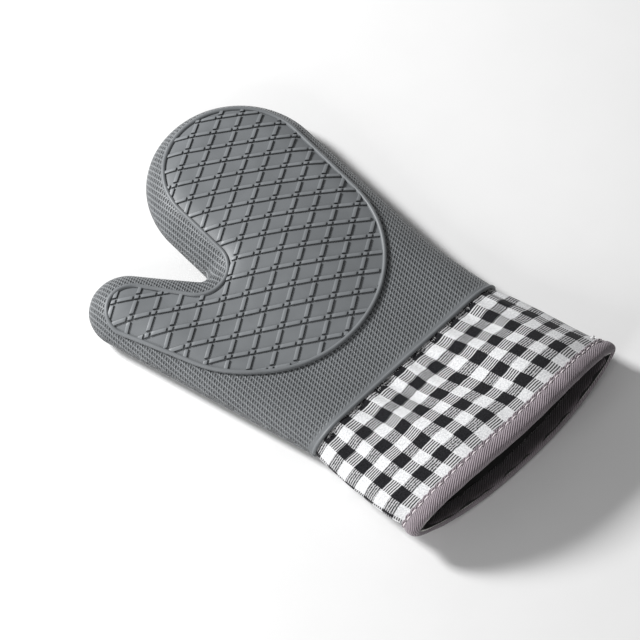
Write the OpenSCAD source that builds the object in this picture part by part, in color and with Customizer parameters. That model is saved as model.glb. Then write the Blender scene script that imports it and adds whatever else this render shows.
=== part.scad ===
// Oven mitt: a moulded silicone glove over a quilted liner, with a checked cloth cuff and a bound mouth.
// It lies flat on its back, grip side up. +Y runs from the mouth to the fingertips, and the thumb is at -X.

/* [Glove] */
// Length of the silicone glove, from its collar to the fingertips
glove_len = 222; // [190:1:270]
// Width of the glove at its collar
collar_w = 160; // [136:1:196]
// Width of the pocket for the four fingers
finger_w = 116; // [98:1:140]
// How far the finger pocket's middle sits from the centreline, away from the thumb
finger_shift = 24; // [18:1:30]
// Width of the thumb
thumb_w = 49; // [44:1:60]
// Distance of the thumb tip's centre from the centreline
thumb_reach = 87; // [80:1:106]
// Distance of the thumb tip's centre from the collar
thumb_up = 151; // [138:1:182]
// Distance from the collar to the lowest point between thumb and fingers
crotch_up = 132; // [112:1:142]
// Distance of that lowest point from the centreline
crotch_side = 40; // [36:1:46]
// Inside radius between thumb and fingers
crotch_r = 4; // [3:0.5:6]
// How far the outer side draws in from a straight line between the collar and the fingers
waist_in = 4.7; // [2:0.1:8]

/* [Thickness] */
// Height of the glove's back side, from the table up to the side line
back_h = 11; // [10:0.5:14]
// Height of the glove's palm side, above the side line
palm_h = 15; // [13:0.5:20]
// Extra height of the palm in the middle of the hand
crown_h = 7; // [0:0.5:9]
// Width over which the glove's edge rounds over
edge_round = 24; // [20:1:26]
// Thickness of the silicone wall
silicone_t = 1.8; // [1.2:0.1:2.4]
// How far the collar's lip stands proud of the silicone
lip_h = 1; // [0.6:0.1:1.6]
// Width of the collar's lip
lip_w = 3; // [2:0.5:5]

/* [Cuff] */
// Length of the cuff from the collar to the middle of the mouth
cuff_len = 92; // [76:1:112]
// How far the mouth's middle stands out past its corners
mouth_bow = 8; // [4:1:12]
// Width of the mouth from corner to corner
mouth_w = 180; // [150:1:218]
// How far the mouth's middle sits from the centreline, away from the thumb
mouth_shift = 7; // [0:1:10]
// Height of the mouth's corners above the table
mouth_back_h = 20; // [16:1:26]
// Height of the mouth's arch above its corners
mouth_palm_h = 30; // [24:1:38]
// Width over which the mouth's arch rounds over
mouth_round = 72; // [60:1:74]
// Depth of the cuff cloth that is tucked under the collar
tuck = 10; // [6:1:14]

/* [Cloth] */
// Thickness of the cuff's checked cotton
cotton_t = 0.4; // [0.3:0.05:0.6]
// Thickness of the liner's backing cloth
backing_t = 0.4; // [0.3:0.05:0.6]
// Thickness of the liner's wadding
wadding_t = 3; // [2:0.1:4]
// Thickness of the liner's lining cloth
lining_t = 0.5; // [0.3:0.05:0.7]
// Gap between layers that lie on each other
layer_gap = 0.1; // [0.05:0.05:0.2]
// Thickness of a seam between the palm side and the back side
seam_t = 0.6; // [0.4:0.1:0.9]

/* [Binding] */
// Width of the binding on each face of the mouth
binding_w = 10; // [8:0.5:13]
// Thickness of the folded binding tape
binding_t = 1.2; // [0.8:0.1:1.6]
// Distance from the binding's inner edge to its stitching
binding_stitch_in = 1.6; // [1:0.1:2.4]

/* [Stitching] */
// Length of one stitch
stitch_len = 4.4; // [3:0.1:5.4]
// Distance from one stitch to the next
stitch_pitch = 5.6; // [4:0.1:7]
// Thickness of the sewing thread
thread_t = 0.5; // [0.3:0.05:0.7]
// Rows of the liner between two lines of quilting
quilt_step = 2; // [1:1:3]

/* [Hidden] */

palm = 1;
back = -1;

// Divisions of the surfaces: across, and along the cuff, wrist, fingers and thumb
across = 12;
cuff_rows = 6;
wrist_rows = 7;
finger_rows = 12;
thumb_rows = 9;
collar_row = cuff_rows;
last_row = cuff_rows + wrist_rows;
arc_steps = 24;

// Depth of each layer's outer face below the mitt's outer surface
cotton_in = silicone_t + layer_gap;
backing_in = cotton_in + cotton_t + layer_gap;
wadding_in = backing_in + backing_t;
lining_in = wadding_in + wadding_t;
hand_in = lining_in + lining_t;

// The binding stands on the cuff cloth outside and on the lining inside
binding_out = cotton_in - layer_gap - binding_t;
binding_in = hand_in + layer_gap + binding_t;

// The outline runs round circles: the thumb tip, the crotch, the fingertips and the waist.
// A radius below 0 means that the outline passes on the far side of the circle.
thumb_r = thumb_w / 2;
finger_r = finger_w / 2;
collar_c = [collar_w / 2, 0];
thumb_c = [-thumb_reach, thumb_up];
crotch_c = [-crotch_side, crotch_up + crotch_r];
finger_c = [finger_shift, glove_len - finger_r];

// The waist draws in from the straight line between the collar's corner and the fingers. Its circle
// is too small to reach that corner or the fingers' circle.
outer_dir = tangent(finger_c, finger_r, collar_c, 0);
outer_top = polar(finger_c, finger_r, outer_dir + 90);
waist_share = 1 / 3;
waist_up = waist_share * norm(outer_top - collar_c);
waist_r = 0.95 * (waist_up * waist_up + waist_in * waist_in) / (2 * waist_in);
waist_c = polar(mix(collar_c, outer_top, waist_share), waist_r - waist_in, outer_dir + 90);
thumb_lean = 108;
side_left = 0.42;   // where the thumb starts, as a share of the way up the thumb's outer side
side_right = 0.42;  // where the fingers start, as a share of the way up the outer side

// The origin is below the middle of the mitt's box
left_x = min(-thumb_reach - thumb_r, mouth_shift - mouth_w / 2);
right_x = max(finger_shift + finger_r, mouth_shift + mouth_w / 2);
home = [-(left_x + right_x) / 2, -(glove_len - cuff_len - binding_t) / 2, 0];

// ---- Small helpers ----

function clamp01(v) = max(0, min(1, v));
function smooth(v) = let(u = clamp01(v)) u * u * (3 - 2 * u);
function mix(a, b, u) = a + (b - a) * u;
function polar(c, r, a) = c + r * [cos(a), sin(a)];
function arc(c, r, a0, a1) = [for (i = [0:arc_steps]) polar(c, r, mix(a0, a1, i / arc_steps))];
function reversed(v) = [for (i = [len(v) - 1:-1:0]) v[i]];

// Direction of the line that leaves circle a and meets circle b, both with signed radii
function tangent(ca, ra, cb, rb) =
    let(v = cb - ca) atan2(v[1], v[0]) - 90 + acos((ra - rb) / norm(v));

// Running length of a path, and the point at a share of that length
function lengths(path, i = 0, sum = 0) =
    i == len(path) - 1 ? [sum] : concat([sum], lengths(path, i + 1, sum + norm(path[i + 1] - path[i])));
function point_at(path, run, share) =
    let(
        s = clamp01(share) * run[len(run) - 1],
        i = min(len([for (r = run) if (r <= s) r]) - 1, len(path) - 2),
        step = run[i + 1] - run[i]
    )
    step < 1e-9 ? path[i] : mix(path[i], path[i + 1], (s - run[i]) / step);
function stations(path, from, to, count) =
    let(run = lengths(path)) [for (i = [0:count]) point_at(path, run, mix(from, to, i / count))];

// ---- The outline, drawn in by a depth t ----

function collar_left(t) = [-collar_w / 2 + t, 0];
function collar_right(t) = [collar_w / 2 - t, 0];
function mouth_left(t) = [mouth_shift - mouth_w / 2 + t, mouth_bow - cuff_len];
function mouth_right(t) = [mouth_shift + mouth_w / 2 - t, mouth_bow - cuff_len];

function dir_collar_thumb(t) = tangent(collar_left(t), 0, thumb_c, thumb_r - t);
function dir_thumb_crotch(t) = tangent(thumb_c, thumb_r - t, crotch_c, -crotch_r - t);
function dir_crotch_finger(t) = tangent(crotch_c, -crotch_r - t, finger_c, finger_r - t);
function dir_finger_waist(t) = tangent(finger_c, finger_r - t, waist_c, -waist_r - t);
function dir_waist_collar(t) = tangent(waist_c, -waist_r - t, collar_right(t), 0);

function thumb_outer(t) = concat(
    [collar_left(t)], arc(thumb_c, thumb_r - t, dir_collar_thumb(t) + 90, thumb_lean));
function crotch_mid(t) = (dir_thumb_crotch(t) + dir_crotch_finger(t)) / 2 + 90;
function thumb_inner(t) = concat(
    arc(crotch_c, -crotch_r - t, crotch_mid(t), dir_thumb_crotch(t) + 90),
    arc(thumb_c, thumb_r - t, dir_thumb_crotch(t) + 90, thumb_lean));
function finger_inner(t) = concat(
    arc(crotch_c, -crotch_r - t, crotch_mid(t), dir_crotch_finger(t) + 90),
    arc(finger_c, finger_r - t, dir_crotch_finger(t) + 90, 90));
function finger_outer(t) = concat(
    [collar_right(t)],
    reversed(arc(waist_c, -waist_r - t, dir_finger_waist(t) + 90, dir_waist_collar(t) + 90)),
    arc(finger_c, finger_r - t, dir_finger_waist(t) + 90, 90));

// ---- Distance from a point inside the mitt to its side ----

function to_line(p, a, b) =
    let(v = b - a, u = clamp01(((p - a) * v) / (v * v))) norm(p - a - u * v);
function turned(a, start) = (a - start) - 360 * floor((a - start) / 360);
function to_arc(p, c, r, a0, a1) =
    let(v = (p - c) * sign(r), turn = turned(atan2(v[1], v[0]), min(a0, a1)))
    turn <= abs(a1 - a0) ? abs(norm(v) - abs(r)) : 1e6;

a_ct = dir_collar_thumb(0) + 90;
a_tc = dir_thumb_crotch(0) + 90;
a_cf = dir_crotch_finger(0) + 90;
a_fw = dir_finger_waist(0) + 90;
a_wc = dir_waist_collar(0) + 90;

function depth(p) = min(
    to_line(p, mouth_left(0), collar_left(0)),
    to_line(p, mouth_right(0), collar_right(0)),
    to_line(p, collar_left(0), polar(thumb_c, thumb_r, a_ct)),
    to_arc(p, thumb_c, thumb_r, a_ct, a_tc),
    to_line(p, polar(thumb_c, thumb_r, a_tc), polar(crotch_c, -crotch_r, a_tc)),
    to_arc(p, crotch_c, -crotch_r, a_tc, a_cf),
    to_line(p, polar(crotch_c, -crotch_r, a_cf), polar(finger_c, finger_r, a_cf)),
    to_arc(p, finger_c, finger_r, a_cf, a_fw),
    to_line(p, polar(finger_c, finger_r, a_fw), polar(waist_c, -waist_r, a_fw)),
    to_arc(p, waist_c, -waist_r, a_fw, a_wc),
    to_line(p, polar(waist_c, -waist_r, a_wc), collar_right(0)));

// ---- Height of a layer's surface at depth t ----

function to_mouth(y) = smooth(-y / cuff_len);
function side_z(y) = mix(back_h, mouth_back_h, to_mouth(y));
function rise(p, face) =
    face == palm
        ? mix(palm_h, mouth_palm_h, to_mouth(p[1])) + crown(p)
        : mix(back_h, mouth_back_h, to_mouth(p[1]));
function crown(p) =
    let(
        x = (p[0] - finger_shift / 4) / (collar_w / 2 - 2),
        y = (p[1] - glove_len / 2) / (glove_len / 2 - 3)
    )
    crown_h * pow(max(0, 1 - x * x - y * y), 2);
function round_w(y) = mix(edge_round, mouth_round, to_mouth(y));
function dome(u) = sqrt(1 - pow(1 - clamp01(u), 2));
function lifted(p, t, face, gap = 0) =
    let(
        y = p[1],
        u = (depth(p) - t) / (round_w(y) - t),
        z = side_z(y) + face * (gap + (rise(p, face) - t - gap) * dome(u < 1e-6 ? 0 : u))
    )
    [p[0], y, max(0, z)];  // nothing reaches below the table

// ---- The grid of points that every layer shares ----
// Three strips, for wrist, fingers and thumb, meet at one three-sided patch.

function share(j, n) = (1 - cos(180 * j / n)) / 2;
function cross_line(a, b, n) = [for (j = [0:n]) mix(a, b, share(j, n))];
function bowed(p, u) = p[1] >= 0 ? p : [p[0], p[1] * (1 + mouth_bow / (cuff_len - mouth_bow) * 4 * u * (1 - u))];

// How far up its side each row of the wrist starts. The first rows hold the collar's lip.
function wrist_share(i, run, end) =
    let(lip = lip_w / run)
    i == 0 ? 0 : i == 1 ? lip : i == 2 ? 1.4 * lip : mix(1.4 * lip, end, (i - 2) / (wrist_rows - 2));
function wrist_side(path, end) =
    let(run = lengths(path), whole = run[len(run) - 1])
    [for (i = [0:wrist_rows]) point_at(path, run, wrist_share(i, whole, end))];
function cuff_side(mouth, collar) = [for (i = [0:cuff_rows - 1]) mix(mouth, collar, i / cuff_rows)];

function wrist_grid(t) =
    let(
        left = concat(cuff_side(mouth_left(t), collar_left(t)), wrist_side(thumb_outer(t), side_left)),
        right = concat(cuff_side(mouth_right(t), collar_right(t)), wrist_side(finger_outer(t), side_right))
    )
    [for (r = [0:last_row]) [for (j = [0:across])
        bowed(mix(left[r], right[r], share(j, across)), share(j, across))]];
function patch_grid(a, b, c) =
    [for (k = [1:across]) cross_line(mix(a, c, share(k, across)), mix(b, c, share(k, across)), max(1, across - k))];
function strip_grid(left, right, rows) =
    [for (r = [1:rows - 1]) cross_line(left[r], right[r], across)];

function flat_grid(t) =
    let(
        wrist = wrist_grid(t),
        crotch = thumb_inner(t)[0],
        patch = patch_grid(wrist[last_row][0], wrist[last_row][across], crotch),
        finger_l = stations(finger_inner(t), 0, 1, finger_rows),
        finger_r = stations(finger_outer(t), side_right, 1, finger_rows),
        thumb_l = stations(thumb_outer(t), side_left, 1, thumb_rows),
        thumb_r = stations(thumb_inner(t), 0, 1, thumb_rows)
    )
    concat(
        [for (row = wrist) each row],
        [for (k = [1:across - 1]) each patch[k - 1]], [crotch],
        [for (row = strip_grid(finger_l, finger_r, finger_rows)) each row], [finger_l[finger_rows]],
        [for (row = strip_grid(thumb_l, thumb_r, thumb_rows)) each row], [thumb_l[thumb_rows]]);

// Places in that list
wide = across + 1;
patch_at = (last_row + 1) * wide;
finger_at = patch_at + across * wide / 2;
finger_tip = finger_at + (finger_rows - 1) * wide;
thumb_at = finger_tip + 1;
thumb_tip = thumb_at + (thumb_rows - 1) * wide;
grid_size = thumb_tip + 1;

function at_wrist(r, j) = r * wide + j;
function at_patch(k, j) = k == 0 ? at_wrist(last_row, j) : patch_at + (k - 1) * wide - (k - 1) * k / 2 + j;
function at_finger(r, j) =
    r == 0 ? at_patch(across - j, j) : r == finger_rows ? finger_tip : finger_at + (r - 1) * wide + j;
function at_thumb(r, j) =
    r == 0 ? at_patch(j, 0) : r == thumb_rows ? thumb_tip : thumb_at + (r - 1) * wide + j;

// Triangles of one surface, anticlockwise from above, from a first row of the wrist
function quad(a, b, c, d) = [[a, b, c], [a, c, d]];
function wrist_faces(r0) = [for (r = [r0:last_row - 1], j = [0:across - 1])
    each quad(at_wrist(r, j), at_wrist(r, j + 1), at_wrist(r + 1, j + 1), at_wrist(r + 1, j))];
patch_faces = [for (k = [0:across - 1], j = [0:across - k - 1]) each concat(
    [[at_patch(k, j), at_patch(k, j + 1), at_patch(k + 1, j)]],
    j == across - k - 1 ? [] : [[at_patch(k, j + 1), at_patch(k + 1, j + 1), at_patch(k + 1, j)]])];
finger_faces = [for (r = [0:finger_rows - 1], j = [0:across - 1]) each r == finger_rows - 1
    ? [[at_finger(r, j), at_finger(r, j + 1), finger_tip]]
    : quad(at_finger(r, j), at_finger(r, j + 1), at_finger(r + 1, j + 1), at_finger(r + 1, j))];
thumb_faces = [for (r = [0:thumb_rows - 1], j = [0:across - 1]) each r == thumb_rows - 1
    ? [[at_thumb(r, j), at_thumb(r, j + 1), thumb_tip]]
    : quad(at_thumb(r, j), at_thumb(r, j + 1), at_thumb(r + 1, j + 1), at_thumb(r + 1, j))];
hand_faces = concat(patch_faces, finger_faces, thumb_faces);

// The side line, from a row of the wrist on the thumb's side, round the tips, to that row on the outer side
function side_line(r0) = concat(
    [for (r = [r0:last_row]) at_wrist(r, 0)],
    [for (r = [1:thumb_rows]) at_thumb(r, 0)],
    [for (r = [thumb_rows - 1:-1:1]) at_thumb(r, across)],
    [for (r = [0:finger_rows]) at_finger(r, 0)],
    [for (r = [finger_rows - 1:-1:1]) at_finger(r, across)],
    [for (r = [last_row:-1:r0]) at_wrist(r, across)]);
function row_line(r) = [for (j = [0:across]) at_wrist(r, j)];

function shifted(faces, n) = [for (f = faces) f + n * [1, 1, 1]];
function flipped(faces) = [for (f = faces) reversed(f)];
function wall(line_a, line_b) = [for (i = [0:len(line_a) - 2])
    each quad(line_a[i], line_a[i + 1], line_b[i + 1], line_b[i])];

// ---- Solids made from that grid ----

// One side of a layer, between two depths, from the mouth to the tips
module half_layer(outer, inner, face) {
    points = concat(
        [for (p = flat_grid(outer)) lifted(p, outer, face, seam_t / 2)],
        [for (p = flat_grid(inner)) lifted(p, inner, face, seam_t / 2)]);
    top = concat(wrist_faces(0), hand_faces);
    edge = concat(side_line(0), [for (j = [across - 1:-1:0]) at_wrist(0, j)]);
    rim = wall([for (i = edge) i + grid_size], edge);
    faces = concat(flipped(top), shifted(top, grid_size), rim);
    translate(home) polyhedron(points, face == palm ? faces : flipped(faces));
}

// One side of the cuff, between two depths, with its edge tucked under the collar
function cuff_grid(t) =
    let(rows = wrist_grid(t), top = [for (p = rows[collar_row]) p + [0, tuck]])
    concat([for (r = [0:collar_row - 1]) each rows[r]], rows[collar_row], top);

module cuff_layer(outer, inner, face) {
    count = (collar_row + 2) * wide;
    points = concat(
        [for (p = cuff_grid(outer)) lifted(p, outer, face, seam_t / 2)],
        [for (p = cuff_grid(inner)) lifted(p, inner, face, seam_t / 2)]);
    top = [for (r = [0:collar_row], j = [0:across - 1])
        each quad(at_wrist(r, j), at_wrist(r, j + 1), at_wrist(r + 1, j + 1), at_wrist(r + 1, j))];
    edge = concat(
        [for (r = [0:collar_row]) at_wrist(r, 0)], row_line(collar_row + 1),
        [for (r = [collar_row:-1:0]) at_wrist(r, across)], [for (j = [across - 1:-1:0]) at_wrist(0, j)]);
    rim = wall([for (i = edge) i + count], edge);
    faces = concat(flipped(top), shifted(top, count), rim);
    translate(home) polyhedron(points, face == palm ? faces : flipped(faces));
}

// A flat bar along the side line, between two depths, that joins the palm side to the back side
module side_bar(line_outer, line_inner) {
    function bar_z(p, s) = [p[0], p[1], side_z(p[1]) + s * seam_t / 2];
    square_bar([
        [for (p = line_outer) bar_z(p, 1)], [for (p = line_outer) bar_z(p, -1)],
        [for (p = line_inner) bar_z(p, -1)], [for (p = line_inner) bar_z(p, 1)]]);
}

// A bar with four edges, each a line of points
module square_bar(edges) {
    n = len(edges[0]);
    sides = [for (s = [0:3], i = [0:n - 2]) each
        quad(s * n + i, (s + 1) % 4 * n + i, (s + 1) % 4 * n + i + 1, s * n + i + 1)];
    ends = concat(quad(0, 3 * n, 2 * n, n), quad(n - 1, 2 * n - 1, 3 * n - 1, 4 * n - 1));
    translate(home) polyhedron([for (e = edges) each e], concat(sides, ends));
}

// Points round the cuff at one row, on the palm side and back along the back side
function ring_line(row_pts, t) = concat(
    [for (p = row_pts) lifted(p, t, palm)],
    [for (j = [across - 1:-1:1]) lifted(row_pts[j], t, back)]);
function mouth_row(t, up) = let(rows = wrist_grid(t), share_up = up / (cuff_len / cuff_rows))
    [for (j = [0:across]) mix(rows[0][j], rows[1][j], share_up)];

// Short bars of thread along a closed line of points, which lie on the surface
module stitches(line) {
    closed = concat(line, [line[0]]);
    run = lengths(closed);
    whole = run[len(run) - 1];
    count = floor(whole / stitch_pitch);
    for (i = [0:count - 1]) {
        a = point_at(closed, run, (i + 0.1) / count);
        b = point_at(closed, run, (i + 0.1) / count + stitch_len / whole);
        v = b - a;
        translate(home + a)
            rotate([0, -asin(v[2] / norm(v)), atan2(v[1], v[0])])
                translate([0, -thread_t / 2, -thread_t / 2]) cube([norm(v), thread_t, thread_t]);
    }
}

// Threads across the hand space, which lie on the lining
module quilting(face) {
    t = hand_in + thread_t;
    grid = flat_grid(t);
    lines = concat(
        [for (r = [quilt_step:quilt_step:last_row]) [for (j = [1:across - 1]) at_wrist(r, j)]],
        [for (r = [quilt_step:quilt_step:finger_rows - 2]) [for (j = [1:across - 1]) at_finger(r, j)]],
        [for (r = [quilt_step:quilt_step:thumb_rows - 2]) [for (j = [1:across - 1]) at_thumb(r, j)]]);
    for (line = lines) thread([for (i = line) lifted(grid[i], t, face, seam_t)]);
}

// A square thread through a line of points
module thread(line) {
    h = (thread_t - layer_gap) / 2;
    square_bar([for (c = [[-h, h], [h, h], [h, -h], [-h, -h]]) [for (p = line) p + [0, c[0], c[1]]]]);
}

// ---- The pieces ----

module silicone_glove() {
    // The collar's first two rows stand proud, as a lip
    proud = flat_grid(-lip_h);
    plain = flat_grid(0);
    outer = [for (i = [0:grid_size - 1]) i < (collar_row + 2) * wide ? [proud[i], -lip_h] : [plain[i], 0]];
    inner = [for (p = flat_grid(silicone_t)) [p, silicone_t]];
    function skin(grid, face) = [for (q = grid) lifted(q[0], q[1], face)];
    points = concat(skin(outer, palm), skin(outer, back), skin(inner, palm), skin(inner, back));
    rim_line = side_line(collar_row);
    // The two sides share the points of the side line
    function joined(faces, n) = [for (f = faces) [for (i = f) search(i, rim_line) == [] ? i + n : i + n - grid_size]];
    top = concat(wrist_faces(collar_row), hand_faces);
    collar = row_line(collar_row);
    collar_back = [for (i = collar) search(i, rim_line) == [] ? i + grid_size : i];
    faces = concat(
        flipped(top), joined(top, grid_size),
        shifted(top, 2 * grid_size), shifted(flipped(joined(top, grid_size)), 2 * grid_size),
        wall(collar, [for (i = collar) i + 2 * grid_size]),
        wall([for (i = collar_back) i + 2 * grid_size], collar_back));
    color("#85898c") translate(home) polyhedron(points, faces);
}

module liner_palm_backing() { color("#3a3a3d") half_layer(backing_in, wadding_in, palm); }
module liner_palm_wadding() { color("#e6e4de") half_layer(wadding_in, lining_in, palm); }
module liner_palm_lining() { color("#2c2c2f") half_layer(lining_in, hand_in, palm); }
module liner_palm_quilting() { color("#1c1c1e") quilting(palm); }
module liner_back_backing() { color("#3a3a3d") half_layer(backing_in, wadding_in, back); }
module liner_back_wadding() { color("#e6e4de") half_layer(wadding_in, lining_in, back); }
module liner_back_lining() { color("#2c2c2f") half_layer(lining_in, hand_in, back); }
module liner_back_quilting() { color("#1c1c1e") quilting(back); }

module liner_seam() {
    outer = flat_grid(backing_in);
    inner = flat_grid(hand_in);
    color("#b9b4ae") side_bar([for (i = side_line(0)) outer[i]], [for (i = side_line(0)) inner[i]]);
}

module cuff_palm_panel() { color("gainsboro") cuff_layer(cotton_in, cotton_in + cotton_t, palm); }
module cuff_back_panel() { color("gainsboro") cuff_layer(cotton_in, cotton_in + cotton_t, back); }

module cuff_side(j) {
    outer = cuff_grid(cotton_in);
    inner = cuff_grid(cotton_in + cotton_t);
    rows = j == 0 ? [0:1:collar_row + 1] : [collar_row + 1:-1:0];
    color("dimgray")
        side_bar([for (r = rows) outer[at_wrist(r, j)]], [for (r = rows) inner[at_wrist(r, j)]]);
}
module cuff_thumb_side_seam() { cuff_side(0); }
module cuff_outer_side_seam() { cuff_side(across); }

module collar_stitching() {
    // Just below the lip, on the cuff cloth
    t = cotton_in - layer_gap - thread_t / 2;
    row = [for (p = wrist_grid(t)[collar_row]) p - [0, lip_w / 2]];
    color("#e9e7e2") stitches(ring_line(row, t));
}

module mouth_binding() {
    // Section of the tape: outer leg, round fold past the edge, inner leg. Each point is [height above the mouth, depth].
    inner_leg = hand_in + layer_gap;
    mid = (binding_out + binding_in) / 2;
    section = [
        [binding_w, binding_out], [0, binding_out], [-0.7 * binding_t, mix(binding_out, mid, 0.4)],
        [-binding_t, mid], [-0.7 * binding_t, mix(binding_in, mid, 0.4)], [0, binding_in], [binding_w, binding_in],
        [binding_w, inner_leg], [-layer_gap, inner_leg], [-layer_gap, cotton_in - layer_gap],
        [binding_w, cotton_in - layer_gap]];
    rings = [for (s = section) ring_line(mouth_row(s[1], s[0]), s[1])];
    n = len(rings[0]);
    m = len(section);
    points = [for (ring = rings) each ring];
    faces = [for (s = [0:m - 1], i = [0:n - 1]) each
        quad(s * n + i, s * n + (i + 1) % n, (s + 1) % m * n + (i + 1) % n, (s + 1) % m * n + i)];
    color("#8f848a") translate(home) polyhedron(points, faces);
}

module binding_stitching() {
    t = binding_out - layer_gap - thread_t / 2;
    color("#cfc7c9") stitches(ring_line(mouth_row(t, binding_w - binding_stitch_in), t));
}

silicone_glove();
liner_palm_backing();
liner_palm_wadding();
liner_palm_lining();
liner_palm_quilting();
liner_back_backing();
liner_back_wadding();
liner_back_lining();
liner_back_quilting();
liner_seam();
cuff_palm_panel();
cuff_back_panel();
cuff_thumb_side_seam();
cuff_outer_side_seam();
collar_stitching();
mouth_binding();
binding_stitching();
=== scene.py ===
# %% [markdown]
# # An oven mitt
# This lesson builds the looks of an oven mitt round its CAD model: a grey silicone glove with a
# ribbed grip panel, a cuff of checked cotton gathered under the glove's collar, a twill binding
# round the mouth, and the quilted liner that shows inside it. The CAD model gives the places and
# the outer sizes. We load it first, and read the glove's box from it.

# %% Load the frame
import math
import random

import bmesh
import bpy
import numpy as np
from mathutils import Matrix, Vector


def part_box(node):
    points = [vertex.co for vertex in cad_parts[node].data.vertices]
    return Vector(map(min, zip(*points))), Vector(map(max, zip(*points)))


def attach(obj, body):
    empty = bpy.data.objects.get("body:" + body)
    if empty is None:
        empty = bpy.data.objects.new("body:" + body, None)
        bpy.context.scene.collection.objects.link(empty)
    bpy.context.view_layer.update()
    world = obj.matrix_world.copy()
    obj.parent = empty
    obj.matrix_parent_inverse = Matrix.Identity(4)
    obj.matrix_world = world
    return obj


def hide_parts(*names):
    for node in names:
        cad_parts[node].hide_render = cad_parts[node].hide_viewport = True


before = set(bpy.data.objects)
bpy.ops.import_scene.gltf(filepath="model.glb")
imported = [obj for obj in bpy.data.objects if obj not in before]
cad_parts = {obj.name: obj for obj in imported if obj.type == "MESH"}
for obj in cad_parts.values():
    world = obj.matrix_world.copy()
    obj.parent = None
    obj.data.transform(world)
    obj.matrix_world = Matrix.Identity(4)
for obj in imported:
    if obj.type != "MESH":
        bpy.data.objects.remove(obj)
bpy.ops.object.select_all(action="DESELECT")
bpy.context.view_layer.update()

# %% [markdown]
# ## The sizes that shape the mitt
# A mitt is cut from a few round shapes: the thumb tip, the notch beside it, the fingertips and the
# waist. They are measured from the middle of the glove's collar, with the fingers along Y and the
# thumb at minus X. The collar's place and the glove's length come from the frame.

# %% Sizes
mm = 0.001
glove_low, glove_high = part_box("silicone_glove")
glove_len = glove_high.y - glove_low.y
collar_w = 160 * mm
finger_r = 58 * mm
finger_shift = 24 * mm
thumb_r = 24.5 * mm
thumb_reach = 87 * mm
thumb_up = 151 * mm
crotch_up = 132 * mm
crotch_side = 40 * mm
crotch_r = 4 * mm
waist_in = 4.7 * mm

back_h = 11 * mm
palm_h = 15 * mm
edge_round = 24 * mm
silicone_t = 1.8 * mm
crown_h = 7 * mm

cuff_len = 92 * mm
mouth_bow = 8 * mm
mouth_w = 180 * mm
mouth_shift = 7 * mm
mouth_back_h = 20 * mm
mouth_palm_h = 30 * mm
mouth_round = 72 * mm

# Depth of each layer below the mitt's outer surface
cotton_in = silicone_t + 0.1 * mm
cotton_t = 0.4 * mm
backing_in = 2.5 * mm
wadding_in = 2.9 * mm
lining_in = 5.8 * mm
hand_in = 6.3 * mm

home = np.array([
    (thumb_reach + thumb_r - mouth_shift - mouth_w / 2) / 2,
    glove_low.y,
])
print("The collar's middle is at", home.round(5))

# %% [markdown]
# ## The outline as a belt round circles
# Tailors draw a mitt with a compass and a ruler: round parts joined by straight lines that just
# touch them. A belt run over pulleys does the same, so one function that lays a belt round a list
# of circles gives every outline here. A radius below zero lets the belt pass on the far side of a
# circle, as it does in the notch of the thumb.

# %% Belt
def tangent(c0, r0, c1, r1):
    """Direction of the line that leaves circle 0 and meets circle 1."""
    v = np.subtract(c1, c0)
    return math.atan2(v[1], v[0]) - math.pi / 2 + math.acos((r0 - r1) / np.hypot(*v))


def belt(circles, closed=False, counts=None, step=1.2 * mm):
    """Points of the belt that runs clockwise round the circles, and how many each stretch has."""
    pairs = list(zip(circles, circles[1:] + (circles[:1] if closed else [])))
    links = [tangent(*a, *b) for a, b in pairs]
    arcs, used = [], []
    for i, (c, r) in enumerate(circles):
        if not closed and i in (0, len(circles) - 1):
            arcs.append(np.array([c], float))
            continue
        start, end = links[i - 1] + math.pi / 2, links[i] + math.pi / 2
        turn = (start - end) % (2 * math.pi) if r >= 0 else -((end - start) % (2 * math.pi))
        n = counts[len(used)] if counts else max(10, int(abs(turn * r) / step)) if r else 0
        used.append(n)
        angle = start - np.linspace(0, turn, n + 1) if r else np.array([start])
        arcs.append(np.column_stack([c[0] + r * np.cos(angle), c[1] + r * np.sin(angle)]))
    line = []
    for arc, after in zip(arcs, arcs[1:] + (arcs[:1] if closed else [arcs[-1][-1:]])):
        line.append(arc)
        run = after[0] - arc[-1]
        n = counts[len(used)] if counts else max(1, int(np.hypot(*run) / step))
        used.append(n)
        line.append(arc[-1] + run * (np.arange(1, n) / n)[:, None])
    return np.concatenate(line), used


finger_c = (finger_shift, glove_len - finger_r)
thumb_c = (-thumb_reach, thumb_up)
crotch_c = (-crotch_side, crotch_up + crotch_r)
collar_c = np.array([collar_w / 2, 0.0])
outer_dir = tangent(finger_c, finger_r, collar_c, 0) + math.pi / 2
outward = np.array([math.cos(outer_dir), math.sin(outer_dir)])
outer_top = np.array(finger_c) + finger_r * outward
waist_up = np.hypot(*(outer_top - collar_c)) / 3
waist_r = 0.95 * (waist_up ** 2 + waist_in ** 2) / (2 * waist_in)
waist_c = tuple(collar_c + (outer_top - collar_c) / 3 + (waist_r - waist_in) * outward)
thumb_out = tangent(-collar_c, 0, thumb_c, thumb_r) + math.pi / 2
waist_out = tangent(waist_c, -waist_r, collar_c, 0) + math.pi / 2


def outline(t, whole):
    """The circles of the mitt's side line, drawn in by t, with the cuff's corners if it is whole."""
    left = t / math.cos(thumb_out) + collar_w / 2
    right = collar_w / 2 - t / math.cos(waist_out)
    hand = [
        (thumb_c, thumb_r - t),
        (crotch_c, -crotch_r - t),
        (finger_c, finger_r - t),
        (waist_c, -waist_r - t),
    ]
    low = mouth_bow - cuff_len
    start = [((mouth_shift - mouth_w / 2 + t, low), 0)] if whole else []
    end = [((mouth_shift + mouth_w / 2 - t, low), 0)] if whole else []
    return start + [((-left, 0), 0)] + hand + [((right, 0), 0)] + end


side_line, _ = belt(outline(0, True), step=0.8 * mm)
print("The side line has", len(side_line), "points")

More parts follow.
